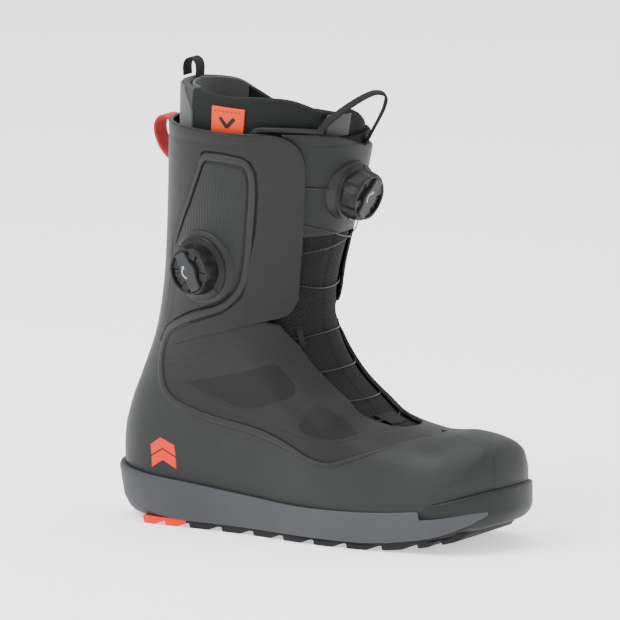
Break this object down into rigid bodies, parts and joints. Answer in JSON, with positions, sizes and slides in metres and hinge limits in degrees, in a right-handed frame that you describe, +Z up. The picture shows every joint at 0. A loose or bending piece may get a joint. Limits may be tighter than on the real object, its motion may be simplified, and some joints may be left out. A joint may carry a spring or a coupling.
{
  "type": "snowboard boot",
  "caption": "Right-foot snowboard boot with a soft liner, cuff flaps, a side and a front lace dial, cable lacing, webbing pull loops and a lugged sole.",
  "frame": {"origin": "on the ground under the middle of the sole's length, on the bottom face of the central tread block", "axes": "+X towards the toe, +Y towards the inner (medial) side of this right boot, +Z up"},
  "size_m": [0.3036, 0.1268, 0.3172],
  "materials": {
    "tread_rubber": "matt moulded rubber",
    "accent_rubber": "matt orange rubber",
    "foam": "matt moulded foam",
    "inner_board": "pressed fibre board",
    "shell": "smooth matt synthetic",
    "shell_dark": "matt synthetic",
    "overlay": "matt bonded synthetic",
    "mesh": "woven mesh",
    "stiffener": "plain thermoplastic sheet",
    "window_film": "laminated fabric",
    "accent_print": "welded film",
    "webbing_black": "woven webbing",
    "webbing_red": "woven webbing",
    "cable": "stranded steel",
    "harness": "padded laminate",
    "liner_foam": "heat-mould foam with a knit face",
    "felt": "brushed felt",
    "lining": "fleece lining",
    "footbed": "foam with a brushed top",
    "tag": "stitched leather tag",
    "dial_plastic": "moulded nylon",
    "dial_grey": "satin nylon",
    "screw_steel": "zinc plated"
  },
  "bodies": {
    "root": {"outsole": "tread_rubber", "heel_tread": "accent_rubber", "midsole": "foam", "heel_cushion": "foam", "lasting_board": "inner_board", "toe_bumper": "tread_rubber", "rear_shell": "shell", "lateral_foxing": "shell", "medial_foxing": "shell", "toe_box": "shell", "lateral_quarter": "shell_dark", "medial_quarter": "shell_dark", "lateral_cuff": "shell_dark", "medial_cuff": "shell_dark", "outer_tongue": "mesh", "front_shield": "overlay", "heel_counter": "stiffener", "toe_puff": "stiffener", "dial_panel": "overlay", "medial_panel": "overlay", "lateral_piping": "overlay", "medial_piping": "overlay", "quarter_windows": "window_film", "heel_mark": "accent_print", "lateral_guides": "webbing_black", "medial_guides": "webbing_black", "toe_lace_loop": "webbing_black", "upper_lace": "cable", "lower_lace": "cable", "ankle_harness": "harness", "liner_foot": "liner_foam", "liner_cuff": "liner_foam", "liner_heel_collar": "felt", "liner_tongue": "liner_foam", "liner_lining": "lining", "footbed": "footbed", "liner_tag": "tag", "side_dial_collar": "overlay", "side_dial_housing": "dial_plastic", "side_dial_screw": "screw_steel", "front_dial_collar": "overlay", "front_dial_housing": "dial_plastic", "front_dial_screw": "screw_steel"},
    "side_spool": {"side_dial_spool": "dial_plastic", "side_dial_ratchet": "dial_grey"},
    "side_knob": {"side_dial_knob": "dial_plastic", "side_dial_cap": "dial_grey"},
    "front_spool": {"front_dial_spool": "dial_plastic", "front_dial_ratchet": "dial_grey"},
    "front_knob": {"front_dial_knob": "dial_plastic", "front_dial_cap": "dial_grey"},
    "outer_flap": {"lateral_flap": "overlay"},
    "inner_flap": {"medial_flap": "overlay"},
    "heel_loop": {"heel_loop": "webbing_red"},
    "liner_loop": {"liner_loop": "webbing_black"},
    "tongue_strap": {"tongue_strap": "webbing_black"}
  },
  "joints": [
    {"name": "side_dial_turn", "type": "hinge", "parent": "root", "child": "side_spool", "pos_m": [-0.066, -0.0492, 0.1825], "axis": [-0.1474, -0.986, -0.0785], "continuous": true},
    {"name": "side_dial_pop", "type": "slide", "parent": "side_spool", "child": "side_knob", "axis": [-0.1474, -0.986, -0.0785], "range_m": [0, 0.003]},
    {"name": "front_dial_turn", "type": "hinge", "parent": "root", "child": "front_spool", "pos_m": [0.0258, -0.0069, 0.2365], "axis": [0.9661, -0.1101, -0.2334], "continuous": true},
    {"name": "front_dial_pop", "type": "slide", "parent": "front_spool", "child": "front_knob", "axis": [0.9661, -0.1101, -0.2334], "range_m": [0, 0.003]},
    {"name": "outer_flap_open", "type": "hinge", "parent": "root", "child": "outer_flap", "pos_m": [-0.0237, -0.0498, 0.2097], "axis": [0.1712, -0.0764, 0.9823], "range_deg": [-15, 0], "stiffness_Nm_per_rad": 0.6},
    {"name": "inner_flap_open", "type": "hinge", "parent": "root", "child": "inner_flap", "pos_m": [-0.0237, 0.0498, 0.2097], "axis": [0.1712, 0.0764, 0.9823], "range_deg": [0, 15], "stiffness_Nm_per_rad": 0.6},
    {"name": "heel_loop_swing", "type": "hinge", "parent": "root", "child": "heel_loop", "pos_m": [-0.114, 0, 0.26], "axis": [0, 0, 1], "range_deg": [-12, 12], "stiffness_Nm_per_rad": 0.03},
    {"name": "liner_loop_swing", "type": "hinge", "parent": "root", "child": "liner_loop", "pos_m": [-0.101, 0, 0.3064], "axis": [0, 1, 0], "range_deg": [-12, 12], "stiffness_Nm_per_rad": 0.03},
    {"name": "tongue_strap_swing", "type": "hinge", "parent": "root", "child": "tongue_strap", "pos_m": [0.0185, -0.0365, 0.2805], "axis": [0.3816, 0.9241, -0.0206], "range_deg": [0, 25], "stiffness_Nm_per_rad": 0.03}
  ]
}
